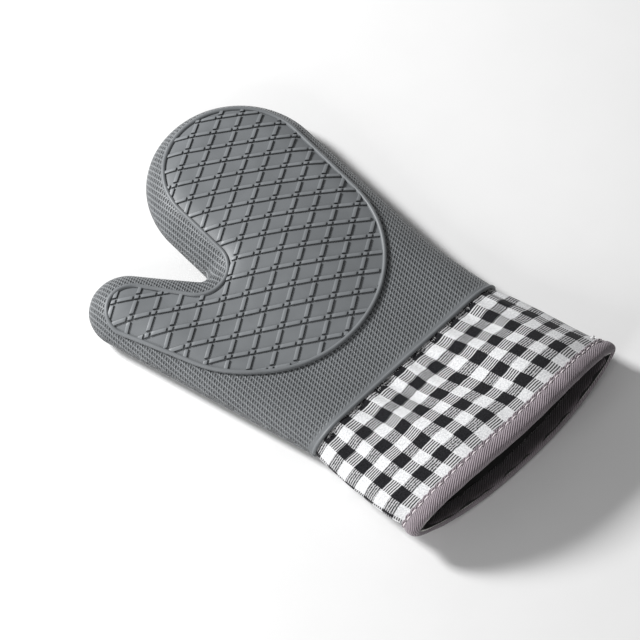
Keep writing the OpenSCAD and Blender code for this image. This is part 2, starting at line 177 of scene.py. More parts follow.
# %% [markdown]
# ## How high the mitt stands
# Filled with wadding, a mitt is flat in the middle and rounds over to its side seam like the edge
# of a pillow. Its height above the side line therefore depends on one thing only: how far a point
# is from that line. We measure this depth for all points at once and put a quarter ellipse on it.
# The cuff is rounder and opens towards the mouth, so the same numbers change smoothly along Y.
# A low crown over the middle of the hand makes the palm swell as stuffed things do, and at the
# mouth the curve leans from an ellipse towards a lens, whose corners are pointed like a fold.

# %% Height
def depth(points, line=side_line, closed=False):
    """Distance of each point inside a line of points, below zero outside it, and the way out."""
    a = line if closed else line[:-1]
    b = np.roll(line, -1, axis=0) if closed else line[1:]
    v = b - a
    gap = np.zeros(len(points))
    out = np.zeros((len(points), 2))
    for i in range(0, len(points), 2000):
        p = points[i:i + 2000, None, :] - a
        u = np.clip((p * v).sum(2) / (v * v).sum(1), 0, 1)
        away = p - u[:, :, None] * v
        far = np.hypot(away[:, :, 0], away[:, :, 1])
        k = far.argmin(1)
        rows = np.arange(len(k))
        side = np.sign(v[k, 0] * away[rows, k, 1] - v[k, 1] * away[rows, k, 0])
        gap[i:i + 2000] = -side * far[rows, k]
        out[i:i + 2000] = -away[rows, k] / np.maximum(far[rows, k], 1e-9)[:, None]
    return gap, out


def smooth(u):
    """An even step from 0 to 1 with soft ends."""
    u = np.clip(u, 0, 1)
    return u * u * (3 - 2 * u)


def mix(a, b, u):
    """What lies a share u of the way from a to b."""
    return a + (b - a) * u


palm, back = 1, -1


def crown(points):
    """The soft swelling of the palm, highest in the middle of the hand."""
    x = (points[:, 0] - finger_shift / 4) / (collar_w / 2 - 2 * mm)
    y = (points[:, 1] - glove_len / 2) / (glove_len / 2 - 3 * mm)
    return crown_h * np.maximum(0, 1 - x * x - y * y) ** 2


def height(points, t, face):
    """Z of a layer that lies t below the outer surface."""
    to_mouth = smooth(-points[:, 1] / cuff_len)
    side_z = mix(back_h, mouth_back_h, to_mouth)
    rise = mix(palm_h, mouth_palm_h, to_mouth) + crown(points) if face == palm else side_z
    round_w = mix(edge_round, mouth_round, to_mouth)
    u = 1 - np.clip((np.abs(depth(points)[0]) - t) / (round_w - t), 0, 1)
    dome = mix(np.sqrt(1 - u * u), 1 - u * u, 0.35 * to_mouth)
    return np.maximum(side_z + face * (rise - t) * dome, 0)


def on_skin(points, t, face, lift=0.0):
    """Places flat points on a layer, with lift along the layer's own normal."""
    e = 0.4 * mm
    z = height(points, t, face)
    dx = (height(points + [e, 0], t, face) - height(points - [e, 0], t, face)) / (2 * e)
    dy = (height(points + [0, e], t, face) - height(points - [0, e], t, face)) / (2 * e)
    normal = np.column_stack([-dx, -dy, np.ones(len(z))]) * face
    normal /= np.linalg.norm(normal, axis=1)[:, None]
    flat = points + home
    return np.column_stack([flat, z]) + normal * np.reshape(lift, (-1, 1)), normal


print("Palm height at the middle of the hand:", height(np.array([[0.0, 0.1]]), 0, palm) / mm)

# %% [markdown]
# ## Small helpers for modelling
# Each piece is made like this: put points on a mesh, cut and join it in edit mode, then finish it
# with modifiers that are applied. These helpers keep the cells after them short.

# %% Modelling helpers
def select_only(piece):
    bpy.ops.object.select_all(action="DESELECT")
    piece.select_set(True)
    bpy.context.view_layer.objects.active = piece


def new_piece(name, points, faces):
    mesh = bpy.data.meshes.new(name)
    mesh.from_pydata([tuple(p) for p in points], [], faces)
    piece = bpy.data.objects.new(name, mesh)
    bpy.context.scene.collection.objects.link(piece)
    select_only(piece)
    return piece


def coords(piece):
    co = np.zeros(len(piece.data.vertices) * 3)
    piece.data.vertices.foreach_get("co", co)
    return co.reshape(-1, 3)


def set_coords(piece, points):
    piece.data.vertices.foreach_set("co", np.asarray(points, float).ravel())
    piece.data.update()


def apply_modifier(piece, kind, **settings):
    select_only(piece)
    bpy.ops.object.modifier_add(type=kind)
    modifier = piece.modifiers[-1]
    for key, value in settings.items():
        setattr(modifier, key, value)
    bpy.ops.object.modifier_apply(modifier=modifier.name)


def edit(piece, *steps):
    """Runs edit-mode operators on the whole of a piece."""
    select_only(piece)
    bpy.ops.object.mode_set(mode="EDIT")
    bpy.ops.mesh.select_all(action="SELECT")
    for operator, settings in steps:
        operator(**settings)
    bpy.ops.object.mode_set(mode="OBJECT")


def joined(name, pieces):
    select_only(pieces[0])
    for piece in pieces:
        piece.select_set(True)
    bpy.ops.object.join()
    pieces[0].name = name
    return pieces[0]


def paint_uv(piece, uv):
    """Gives every vertex its place on the flat cloth or skin, in metres."""
    layer = piece.data.uv_layers.new(name="flat")
    corner = np.zeros(len(piece.data.loops), int)
    piece.data.loops.foreach_get("vertex_index", corner)
    layer.data.foreach_set("uv", np.asarray(uv)[corner].ravel())


def finish_piece(piece, material, replaces=(), smooth_shade=True):
    piece.data.materials.clear()
    piece.data.materials.append(material)
    if smooth_shade:
        select_only(piece)
        bpy.ops.object.shade_smooth()
    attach(piece, "root")
    if replaces:
        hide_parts(*replaces)
    print(piece.name, "faces:", len(piece.data.polygons))


# %% [markdown]
# ## A flat piece, cut into small faces
# Both halves of the glove, the grip panel and the liner start as flat pieces. The rounded edge
# needs close rings that follow the outline, at equal turns of the quarter ellipse. The middle can
# be a plain grid: one big face, cut by a row of planes each way.

# %% Flat piece
ring_turns = np.radians(np.arange(0, 90, 10))


def flat_piece(name, circles_at, depths, cell, closed=False):
    first, counts = belt(circles_at(0), closed)
    loops = [belt(circles_at(d), closed, counts)[0] for d in depths]
    n = len(first)
    last = n if closed else n - 1
    faces = []
    for k in range(len(loops) - 1):
        for i in range(last):
            j = (i + 1) % n
            faces.append([k * n + i, (k + 1) * n + i, (k + 1) * n + j, k * n + j])
    middle = (len(loops) - 1) * n
    faces.append(list(range(middle + n - 1, middle - 1, -1)))
    points = np.concatenate(loops)
    piece = new_piece(name, np.column_stack([points, np.zeros(len(points))]), faces)
    tags = [0] * (len(faces) - 1) + [1]
    piece.data.polygons.foreach_set("material_index", tags)
    bpy.ops.object.mode_set(mode="EDIT")
    mesh = bmesh.from_edit_mesh(piece.data)
    low, high = points.min(0), points.max(0)
    for axis in (0, 1):
        for at in np.arange(low[axis] + 0.37 * cell, high[axis], cell):
            bpy.ops.mesh.select_all(action="DESELECT")
            for face in mesh.faces:
                if face.material_index == 1:
                    face.select_set(True)
            place, normal = [0, 0, 0], [0, 0, 0]
            place[axis], normal[axis] = at, 1
            bpy.ops.mesh.bisect(plane_co=place, plane_no=normal, threshold=1e-5)
            mesh = bmesh.from_edit_mesh(piece.data)
    bpy.ops.object.mode_set(mode="OBJECT")
    piece.data.polygons.foreach_set("material_index", [0] * len(piece.data.polygons))
    return piece


# %% [markdown]
# ## Materials: a few words for shader nodes
# A procedural material is a chain of small sums on the piece's own coordinates. `put` adds a node
# and links it in one line, and `maths` writes a sum, so that each material reads like its recipe.

# %% Shader helpers
def new_material(name, roughness, **constants):
    material = bpy.data.materials.new(name)
    material.use_nodes = True
    tree = material.node_tree
    shader = tree.nodes["Principled BSDF"]
    shader.inputs["Roughness"].default_value = roughness
    for key, value in constants.items():
        shader.inputs[key.replace("_", " ")].default_value = value
    return material, tree, shader


def put(tree, kind, sockets, **settings):
    node = tree.nodes.new("ShaderNode" + kind)
    for key, value in settings.items():
        setattr(node, key, value)
    for key, value in sockets.items():
        if isinstance(value, bpy.types.NodeSocket):
            tree.links.new(value, node.inputs[key])
        else:
            node.inputs[key].default_value = value
    return node


def maths(tree, operation, a, b=0.0, c=0.0, clamp=False):
    return put(tree, "Math", {0: a, 1: b, 2: c}, operation=operation, use_clamp=clamp).outputs[0]


def ramp(tree, value, low, high, to_low=0.0, to_high=1.0):
    sockets = {"Value": value, "From Min": low, "From Max": high, "To Min": to_low, "To Max": to_high}
    return put(tree, "MapRange", sockets, interpolation_type="SMOOTHSTEP").outputs[0]


def blend_colour(tree, factor, a, b):
    node = put(tree, "Mix", {0: factor}, data_type="RGBA")
    for slot, colour in ((6, a), (7, b)):
        if isinstance(colour, bpy.types.NodeSocket):
            tree.links.new(colour, node.inputs[slot])
        else:
            node.inputs[slot].default_value = (*colour, 1)
    return node.outputs[2]


def noise(tree, vector, scale, detail=2.0, roughness=0.5):
    sockets = {"Vector": vector, "Scale": scale, "Detail": detail, "Roughness": roughness}
    return put(tree, "TexNoise", sockets).outputs[0]


def flat_place(tree):
    """The piece's flat coordinates, in metres, split into along and across."""
    place = put(tree, "UVMap", {}, uv_map="flat").outputs[0]
    parts = put(tree, "SeparateXYZ", {0: place})
    return place, parts.outputs[0], parts.outputs[1]


def bump(tree, shader, tall, distance, strength=1.0):
    sockets = {"Height": tall, "Distance": distance, "Strength": strength}
    node = put(tree, "Bump", sockets)
    if shader.inputs["Normal"].links:
        tree.links.new(shader.inputs["Normal"].links[0].from_socket, node.inputs["Normal"])
    tree.links.new(node.outputs[0], shader.inputs["Normal"])


# %% [markdown]
# ## Silicone, plain and embossed
# Moulded silicone is matt, with a faint dusty sheen and a fine grain. Outside the grip panel it
# has a press-marked skin: small slanted dimples in rows about 1.9 mm apart, every second one a
# little shallower, with a raised grain between two neighbours. The dimples dip and are also
# painted darker, painted shade for the little light that reaches into them, and the grains are
# painted paler, a painted highlight. The feet of the ribs get painted shade by a value stored on
# their points, and the ribs' own copy is painted lighter, painted light on their tops.

# %% Silicone materials
silicone_grey = (0.158, 0.167, 0.175)


def silicone(name, embossed, shade=1.0, shadow_name=None):
    material, tree, shader = new_material(name, 0.44, Sheen_Weight=0.08, Sheen_Roughness=0.4)
    shader.inputs["IOR"].default_value = 1.41
    where = put(tree, "TexCoord", {}).outputs["Object"]
    light = tuple(shade * c * 1.04 for c in silicone_grey)
    dark = tuple(shade * c * 0.94 for c in silicone_grey)
    cloudy = ramp(tree, noise(tree, where, 55, 3), 0.35, 0.65)
    colour = blend_colour(tree, cloudy, dark, light)
    grain = noise(tree, where, 2600, 2)
    bump(tree, shader, grain, 0.05 * mm, 0.5)
    if embossed:
        place, across, along = flat_place(tree)
        column = maths(tree, "DIVIDE", across, 3.05 * mm)
        row = maths(tree, "DIVIDE", along, 1.9 * mm)
        x = maths(tree, "SUBTRACT", maths(tree, "FRACT", column), 0.5)
        y = maths(tree, "SUBTRACT", maths(tree, "FRACT", row), 0.5)
        lean = maths(tree, "MULTIPLY_ADD", x, -0.5, y)
        oval = maths(
            tree, "ADD",
            maths(tree, "POWER", maths(tree, "DIVIDE", x, 0.42), 2),
            maths(tree, "POWER", maths(tree, "DIVIDE", lean, 0.40), 2))
        dimple = ramp(tree, oval, 0.0, 1.05, 1.0, 0.0)
        turn = maths(tree, "ADD", maths(tree, "FLOOR", column), maths(tree, "FLOOR", row))
        odd = maths(tree, "PINGPONG", turn, 1.0)
        depth_here = maths(tree, "MULTIPLY", dimple, maths(tree, "MULTIPLY_ADD", odd, 0.25, 0.75))
        fade = ramp(tree, along, 2.5 * mm, 7 * mm)
        depth_here = maths(tree, "MULTIPLY", depth_here, fade)
        beside = maths(tree, "SUBTRACT", maths(tree, "FRACT", maths(tree, "ADD", column, 0.5)), 0.5)
        beside_lean = maths(tree, "MULTIPLY_ADD", beside, -0.5, y)
        grain_oval = maths(
            tree, "ADD",
            maths(tree, "POWER", maths(tree, "DIVIDE", beside, 0.22), 2),
            maths(tree, "POWER", maths(tree, "DIVIDE", beside_lean, 0.30), 2))
        raised = maths(tree, "MULTIPLY", ramp(tree, grain_oval, 0.0, 1.0, 1.0, 0.0), fade)
        # Painted shade: the dimples' colour goes towards near black with their depth.
        colour = blend_colour(tree, maths(tree, "MULTIPLY", depth_here, 0.82), colour, (0.030, 0.033, 0.036))
        # Painted highlight: the grains between the dimples are painted paler.
        colour = blend_colour(tree, maths(tree, "MULTIPLY", raised, 0.8), colour, (0.360, 0.375, 0.385))
        tall = maths(tree, "SUBTRACT", maths(tree, "MULTIPLY", raised, 0.5), depth_here)
        bump(tree, shader, tall, 1.0 * mm, 1.0)
    # Painted shade: the colour goes towards near black by a value stored on the points.
    if shadow_name:
        painted_foot_shade = put(tree, "Attribute", {}, attribute_name=shadow_name).outputs["Fac"]
        colour = blend_colour(tree, painted_foot_shade, colour, (0.016, 0.017, 0.019))
    tree.links.new(colour, shader.inputs["Base Color"])
    return material


embossed_silicone = silicone("embossed silicone", True)
plain_silicone = silicone("smooth silicone", False)
# The ribs' copy is painted 1.22 times lighter, painted light on their tops, with painted shade at their
# feet.
lit_rib_silicone = silicone("lit rib silicone", False, 1.22, "painted_foot_shade")

# %% [markdown]
# ## The silicone glove
# The real glove is one moulding, taken here as 1.8 mm thick. We raise a flat piece to
# the palm's height and a copy of it to the back's, and join them at the side line where they meet.
# Solidify then gives the wall its thickness inwards, so the outside stays where the CAD has it.
# The flat coordinates keep their true scale where the side rounds over, so the embossing isn't
# stretched there: each point moves outwards by the extra length that the curve takes.

# %% Glove
def raise_half(piece, face):
    """Lifts a flat piece to the mitt's outer surface and gives back its flat points."""
    flat = coords(piece)[:, :2]
    set_coords(piece, np.column_stack([flat + home, height(flat, 0, face)]))
    if face == back:
        edit(piece, (bpy.ops.mesh.flip_normals, {}))
    return flat


def true_scale(flat, face):
    """Flat coordinates whose lengths are those of the rounded surface."""
    gap, out = depth(flat)
    rise = palm_h if face == palm else back_h
    turns = np.linspace(0, math.pi / 2, 91)
    arc = np.hypot(np.diff(edge_round * np.cos(turns)), np.diff(rise * np.sin(turns)))
    run = np.concatenate([[0], np.cumsum(arc[::-1])])
    reach = edge_round * np.cos(turns[::-1])
    past = edge_round - np.clip(gap, 0, edge_round)
    extra = np.interp(past, reach, run) - past
    return flat + out * extra[:, None]


glove_rings = edge_round * (1 - np.cos(ring_turns))
halves = []
for face, name in ((palm, "glove_palm"), (back, "glove_back")):
    half = flat_piece(name, lambda d: outline(d, False), glove_rings, 3 * mm)
    flat = raise_half(half, face)
    paint_uv(half, true_scale(flat, face) + (0 if face == palm else np.array([0.4, 0])))
    halves.append(half)
glove = joined("silicone_shell", halves)
edit(glove, (bpy.ops.mesh.remove_doubles, {"threshold": 0.01 * mm}))
apply_modifier(glove, "SOLIDIFY", thickness=silicone_t, offset=-1, use_even_offset=True)
finish_piece(glove, embossed_silicone, ["silicone_glove"])

# %% [markdown]
# ## The lip of the collar
# At the collar the silicone ends in a smooth round bead that stops the edge tearing. It is a ring
# that follows the collar over the palm and back under the hand. A curve with a round bevel makes
# it, turned into a mesh once it is in place.

# %% Collar lip
def across_row(y, x_left, x_right, count):
    """Flat points of one row across the cuff, closer together at the sides and bowed at the mouth."""
    share = (1 - np.cos(np.linspace(0, math.pi, count))) / 2
    bow = mouth_bow / (cuff_len - mouth_bow) * 4 * share * (1 - share) if y < 0 else 0 * share
    return np.column_stack([mix(x_left, x_right, share), y * (1 + bow)])


def tube(name, points, radius, closed=True, resolution=4):
    curve = bpy.data.curves.new(name, "CURVE")
    curve.dimensions = "3D"
    curve.bevel_depth = radius
    curve.bevel_resolution = resolution
    curve.use_fill_caps = not closed
    line = curve.splines.new("POLY")
    line.points.add(len(points) - 1)
    line.points.foreach_set("co", np.column_stack([points, np.ones(len(points))]).ravel())
    line.use_cyclic_u = closed
    piece = bpy.data.objects.new(name, curve)
    bpy.context.scene.collection.objects.link(piece)
    select_only(piece)
    bpy.ops.object.convert(target="MESH")
    return bpy.context.view_layer.objects.active


def ring_at(y, inset, t, count=120, lift=0.0):
    """A closed ring round the wrist at height y above the collar."""
    row = across_row(y, inset - collar_w / 2, collar_w / 2 - inset, count)
    over = on_skin(row, t, palm, lift)[0]
    under = on_skin(row, t, back, lift)[0]
    return np.concatenate([over, under[-2:0:-1]])


lip_r = 1.35 * mm
lip_line = ring_at(1.1 * mm, 0.05 * mm, 0.55 * mm)
lip_line[:, 2] = np.maximum(lip_line[:, 2], lip_r)
lip = tube("collar_lip", lip_line, lip_r)
finish_piece(lip, plain_silicone)

# %% [markdown]
# ## The grip panel
# The palm's middle and the thumb carry a smooth panel that stands a little proud of the skin,
# inside a rounded ridge. Its border is a belt again, round the heel of the hand, the thumb, the
# notch and the fingertips. The panel is a flat piece laid on the palm's surface, thickened
# downwards so that it joins the glove.

# %% Grip panel
border_circles = [
    ((-13 * mm, 116 * mm), 80 * mm),
    ((-89 * mm, 145 * mm), 16 * mm),
    ((-42 * mm, 136 * mm), -19 * mm),
    ((26 * mm, 167 * mm), 46 * mm),
]
floor_lift = 0.4 * mm


def border_in(t):
    return [(c, r - t) for c, r in border_circles]


border, _ = belt(border_in(0), True)
panel = flat_piece("grip_panel", border_in, np.array([0, 0.7, 1.6, 3.0]) * mm, 3 * mm, True)
flat = coords(panel)[:, :2]
set_coords(panel, on_skin(flat, 0, palm, floor_lift)[0])
paint_uv(panel, flat)
apply_modifier(panel, "SOLIDIFY", thickness=0.9 * mm, offset=-1)
finish_piece(panel, plain_silicone)

# %% [markdown]
# ## The ridge round the panel
# The ridge is a bead that runs along the border without a break. A round tube 2.9 mm thick, sunk
# into the panel's edge, gives its rounded top.

# %% Grip ridge
ridge = tube("grip_ridge", on_skin(border, 0, palm, 0.85 * mm)[0], 1.45 * mm)
finish_piece(ridge, plain_silicone)

# %% [markdown]
# ## The grip ribs
# The ribs form a lattice of slanted squares. Along both of its directions runs a row of short
# bars with bevelled edges, and a small stud sits at each crossing. One bar and one stud are
# modelled from a cube: bevelled above, and cut across so that they can bend. Every copy is then
# laid on the palm, with its length cut off where it would cross the ridge. The lattice is even on
# the flat moulding and draws closer together where the palm bends down towards the fingertips.

# %% Grip ribs
way_1 = np.array([11.44, 7.22]) * mm
way_2 = np.array([11.49, -7.94]) * mm
lattice_start = np.array([-56.75, 100.85]) * mm
rib_w = 2.35 * mm
rib_h = 1.15 * mm
stud_w = 2.45 * mm
rib_gap = 1.25 * mm
rib_sink = 0.3 * mm
bend_way = np.array([0.722, 0.692])
bend_side = np.array([-0.692, 0.722])
bend_from = 77.5 * mm
bend_r = 766 * mm
bend_narrow = 2051 * mm


def bent(points):
    """Where a point of the flat moulding lies once it is bent over the palm."""
    run = points @ bend_way - bend_from
    side = (points @ bend_side) * (1 - run / bend_narrow)
    reach = bend_from + run - run * run / (2 * bend_r)
    return reach[:, None] * bend_way + side[:, None] * bend_side


# %% [markdown]
# ## One bar and one stud
# A mould maker cuts these with bevelled edges, so that the silicone comes out cleanly. Here a cube
# gets its size, a bevel round its upper face, and a few cuts along its length.

# %% Bar and stud
def rib_block(name, length, width, cuts):
    """A bevelled block that stands on z = 0 and reaches a little below it."""
    bpy.ops.object.select_all(action="DESELECT")
    bpy.ops.mesh.primitive_cube_add(size=1)
    block = bpy.context.view_layer.objects.active
    block.name = name
    size = np.array([length, width, rib_h + rib_sink])
    middle = np.array([0, 0, (rib_h - rib_sink) / 2])
    set_coords(block, coords(block) * size + middle)
    bpy.ops.object.mode_set(mode="EDIT")
    bpy.ops.mesh.select_all(action="DESELECT")
    mesh = bmesh.from_edit_mesh(block.data)
    for face in mesh.faces:
        if face.normal.z > 0.9:
            face.select_set(True)
    bpy.ops.mesh.bevel(offset=0.4 * mm, segments=2, profile=0.6)
    for at in cuts:
        bpy.ops.mesh.select_all(action="SELECT")
        bpy.ops.mesh.bisect(plane_co=(at * length, 0, 0), plane_no=(1, 0, 0))
    bpy.ops.object.mode_set(mode="OBJECT")
    return block


def inside_stretch(middle, way, length):
    """The part of a bar that lies inside the border, as two distances from its middle."""
    at = np.linspace(-length / 2, length / 2, 41)
    gap = depth(bent(middle + at[:, None] * way), border, True)[0]
    kept = at[gap > 0.3 * mm]
    return (kept[0], kept[-1]) if len(kept) > 7 else None


bar = rib_block("bar", 10 * mm, rib_w, (-0.25, 0, 0.25))
stud = rib_block("stud", stud_w, stud_w, ())
bar_points, stud_points = coords(bar), coords(stud)
bar_faces = [list(p.vertices) for p in bar.data.polygons]
stud_faces = [list(p.vertices) for p in stud.data.polygons]
for block in (bar, stud):
    bpy.data.objects.remove(block)

# %% [markdown]
# ## Laying out the lattice
# Every copy gets its own points: its length runs along one way of the lattice and its ends follow
# the other, so that bars and studs are slanted like the squares between them. All the copies are
# one mesh, with painted shade for their feet stored on its points.

# %% Lattice of ribs
rib_flat, rib_lift, rib_faces = [], [], []


def lay_copy(points, faces, middle, along, beside, stretch):
    """Adds a copy whose length runs along one lattice way and whose ends follow the other."""
    half = points[:, 0].max()
    reach = mix(stretch[0], stretch[1], (points[:, 0] + half) / (2 * half))
    cross = along[0] * beside[1] - along[1] * beside[0]
    over = points[:, 1] / abs(cross)
    start = sum(len(f) for f in rib_flat)
    rib_flat.append(bent(middle + reach[:, None] * along + over[:, None] * beside))
    rib_lift.append(points[:, 2])
    rib_faces.extend([[i + start for i in face] for face in faces])


unit_1 = way_1 / np.hypot(*way_1)
unit_2 = way_2 / np.hypot(*way_2)
for i in range(-12, 13):
    for j in range(-12, 13):
        crossing = lattice_start + i * way_1 + j * way_2
        if depth(bent(crossing[None]), border, True)[0][0] > stud_w / 2 + 0.4 * mm:
            lay_copy(stud_points, stud_faces, crossing, unit_1, unit_2, (-stud_w / 2, stud_w / 2))
        for way, along, beside in ((way_1, unit_1, unit_2), (way_2, unit_2, unit_1)):
            middle = crossing + way / 2
            rib_len = np.hypot(*way) - stud_w - 2 * rib_gap
            stretch = inside_stretch(middle, along, rib_len)
            if stretch:
                lay_copy(bar_points, bar_faces, middle, along, beside, stretch)
rib_points, _ = on_skin(np.concatenate(rib_flat), 0, palm, floor_lift + np.concatenate(rib_lift))
ribs = new_piece("grip_ribs", rib_points, rib_faces)
edit(ribs, (bpy.ops.mesh.normals_make_consistent, {"inside": False}))
# Painted shade: the value is 1 at the ribs' feet and fades to 0 towards their tops.
painted_foot_shade = ribs.data.attributes.new("painted_foot_shade", "FLOAT", "POINT")
painted_foot_shade.data.foreach_set("value", 1 - smooth((np.concatenate(rib_lift) / rib_h - 0.38) / 0.62))
finish_piece(ribs, lit_rib_silicone, smooth_shade=False)
bpy.ops.object.shade_smooth_by_angle(angle=math.radians(35))

# %% [markdown]
# ## Checked cotton
# Gingham is a plain weave of black and white stripes both ways. The stripes are a little uneven,
# as woven stripes are.

# %% Cotton material
check = 9 * mm


def checked_cotton():
    material, tree, shader = new_material("checked cotton", 0.9, Sheen_Weight=0.04, Sheen_Roughness=0.5)
    shader.inputs["Specular IOR Level"].default_value = 0.2
    place, around, along = flat_place(tree)
    drift = maths(tree, "SUBTRACT", noise(tree, place, 22, 1), 0.5)
    wander = maths(tree, "SUBTRACT", noise(tree, place, 120, 3), 0.5)
    crooked = maths(tree, "MULTIPLY_ADD", drift, 6.0 * mm, maths(tree, "MULTIPLY", wander, 1.6 * mm))
    around_w = maths(tree, "ADD", crooked, around)
    along_w = maths(tree, "SUBTRACT", along, maths(tree, "MULTIPLY", crooked, 0.8))

    def stripe(value, offset):
        turn = maths(tree, "FRACT", maths(tree, "DIVIDE", maths(tree, "ADD", value, offset), 2 * check))
        return ramp(tree, maths(tree, "ABSOLUTE", maths(tree, "SUBTRACT", turn, 0.5)), 0.242, 0.258)

    warp = stripe(around_w, 0.2)
    weft = stripe(along_w, 0.18 - 5.7 * mm)
    fibre = noise(tree, place, 1500, 2)
    coarse = noise(tree, place, 900, 2)
    ribbed = maths(tree, "SINE", maths(tree, "MULTIPLY", along_w, 2 * math.pi / (1.7 * mm)))
    lines = ramp(tree, maths(tree, "ADD", maths(tree, "MULTIPLY", ribbed, 0.7), coarse), -0.15, 1.1)
    speckle = ramp(tree, maths(tree, "MULTIPLY_ADD", ribbed, 0.2, coarse), 0.34, 0.64)
    slub = ramp(tree, coarse, 0.3, 0.7)
    white = blend_colour(tree, slub, (0.56, 0.565, 0.58), (0.79, 0.795, 0.80))
    black = blend_colour(tree, slub, (0.003, 0.003, 0.004), (0.014, 0.014, 0.017))
    lined = blend_colour(tree, lines, (0.004, 0.004, 0.005), (0.62, 0.62, 0.63))
    mottled = blend_colour(tree, speckle, (0.006, 0.006, 0.007), (0.48, 0.48, 0.49))
    light_row = blend_colour(tree, warp, white, lined)
    dark_row = blend_colour(tree, warp, mottled, black)
    tree.links.new(blend_colour(tree, weft, light_row, dark_row), shader.inputs["Base Color"])
    thread_u = maths(tree, "SINE", maths(tree, "MULTIPLY", around, 2 * math.pi / (0.62 * mm)))
    thread_v = maths(tree, "SINE", maths(tree, "MULTIPLY", along, 2 * math.pi / (0.95 * mm)))
    weave = maths(tree, "ADD", maths(tree, "MULTIPLY", thread_u, thread_v), fibre)
    bump(tree, shader, weave, 0.1 * mm, 0.6)
    return material


cotton = checked_cotton()

# %% [markdown]
# ## The gathered cuff
# The cuff's cloth is cut as wide as the mouth and gathered into the narrower collar, so it lies in
# soft waves that start under the lip and die away towards the binding. The cloth starts as a tube
# of quads from the mouth to just under the collar, and every row is lifted off the cuff's surface
# by a sum of waves. A cloth simulation could do this too, but waves keep the checks in order and
# the seams in their places.

# %% Cuff rows
tuck = 9 * mm
cuff_rows = 60
cuff_half = 100


def cuff_row(up, t, count):
    """Flat points of the row that lies a share `up` of the way from the mouth to the collar."""
    left = mix(mouth_shift - mouth_w / 2, -collar_w / 2, up) + t
    right = mix(mouth_shift + mouth_w / 2, collar_w / 2, up) - t
    level = (mouth_bow - cuff_len) * (1 - up)
    return across_row(level, left, right, count)


def cuff_ring(up, t, count, lift=0.0):
    """A closed ring round the cuff, over the palm side and back along the back side."""
    row = cuff_row(min(up, 1.0), t, count)
    row = row + [0, max(up - 1, 0) * cuff_len]
    over = on_skin(row, t, palm, lift)[0]
    under = on_skin(row, t, back, lift)[0]
    return np.concatenate([over, under[-2:0:-1]])


def length_round(ring):
    steps = np.linalg.norm(np.diff(np.concatenate([ring, ring[:1]]), axis=0), axis=1)
    return np.concatenate([[0], np.cumsum(steps)])


# %% [markdown]
# ## The cut of the cuff's cloth
# A sewer would cut the cloth to the length round the mouth and the length of the cuff, with a tuck
# that goes under the lip. We measure both on the rows, and they become the flat coordinates that
# the checks follow.

# %% Cut of the cloth
cuff_top = 1 + tuck / cuff_len
ups = np.linspace(0.0, cuff_top, cuff_rows + 1)
rings = np.array([cuff_ring(up, cotton_in, cuff_half + 1) for up in ups])
around = rings.shape[1]
mouth_run = length_round(rings[0])
cut_w = mouth_run[-1]
along = np.linalg.norm(np.diff(rings[:, cuff_half // 2], axis=0), axis=1)
cut_h = np.concatenate([[0], np.cumsum(along)])
print("The cuff's cloth is cut", round(cut_w, 3), "by", round(cut_h[-1], 3), "m")


# %% [markdown]
# ## The gathers
# Three sizes of wave run round the cuff: wide folds, tight puckers near the collar and a slow swell.
# All of them die away at the binding, whose stitches hold the cloth flat.

# %% Gathers
def waves(u, v):
    """Height of the gathers: u runs round the cuff in metres, v is 0 at the mouth and 1 at the collar."""
    near_collar = smooth((v - 0.25) / 0.75) * (1 - smooth((v - 0.97) / 0.03))
    wide = np.sin(u * 2 * math.pi / (31 * mm) + 2.1 * np.sin(u * 23)) * (0.35 + 0.65 * near_collar)
    tight = np.sin(u * 2 * math.pi / (13 * mm) + 1.7 * np.sin(u * 57 + 1)) * near_collar
    slow = np.sin(u * 2 * math.pi / (74 * mm) + 3.0 * v + 0.6) * np.sin(math.pi * np.clip(v, 0, 1))
    ends = smooth((v - 0.1) / 0.15) * (1 - smooth((v - 0.985) / 0.03))
    puff = 1.6 * np.sin(math.pi * np.clip(v, 0, 1) ** 1.6)
    return (0.8 * wide + 0.6 * tight + 1.3 * slow + puff) * ends * mm


u = np.tile(mouth_run[:-1], len(ups))
v = np.repeat(ups, around)
lift = waves(u, v) + 0.8 * mm * smooth((v - 0.08) / 0.14)
shaped = []
for k, up in enumerate(ups):
    here = lift[k * around:(k + 1) * around]
    row_lift_palm = here[:cuff_half + 1]
    row_lift_back = np.concatenate([here[cuff_half:], here[:1]])[::-1]
    row = cuff_row(min(up, 1.0), cotton_in, cuff_half + 1) + [0, max(up - 1, 0) * cuff_len]
    over = on_skin(row, cotton_in, palm, row_lift_palm)[0]
    under = on_skin(row, cotton_in, back, row_lift_back)[0]
    shaped.append(np.concatenate([over, under[-2:0:-1]]))
points = np.concatenate(shaped)
points[:, 2] = np.maximum(points[:, 2], 0.3 * mm)
faces = []
for k in range(cuff_rows):
    for i in range(around):
        j = (i + 1) % around
        faces.append([k * around + i, k * around + j, (k + 1) * around + j, (k + 1) * around + i])
cuff = new_piece("cuff_cloth", points, faces)


# %% [markdown]
# ## The two panels
# The cuff is sewn from two panels, one on the palm side and one on the back, each with its own
# checks. Each is a half of the tube, and Solidify gives it the thickness of cotton.

# %% Cuff panels
def panel_of(name, source, is_palm):
    """Copies the palm or the back half of the tube, with its own flat coordinates."""
    first, last = (0, cuff_half) if is_palm else (cuff_half, around)
    columns = list(range(first, last + 1))
    pick = np.array([[k * around + c % around for c in columns] for k in range(len(ups))])
    flat_u = np.array([mouth_run[c] for c in columns]) - mouth_run[first]
    n = len(columns)
    quads = [[k * n + i, k * n + i + 1, (k + 1) * n + i + 1, (k + 1) * n + i]
             for k in range(len(ups) - 1) for i in range(n - 1)]
    piece = new_piece(name, coords(source)[pick.ravel()], quads)
    flat_v = np.repeat(cut_h, n)
    paint_uv(piece, np.column_stack([np.tile(flat_u, len(ups)), flat_v]))
    return piece, flat_u[-1]


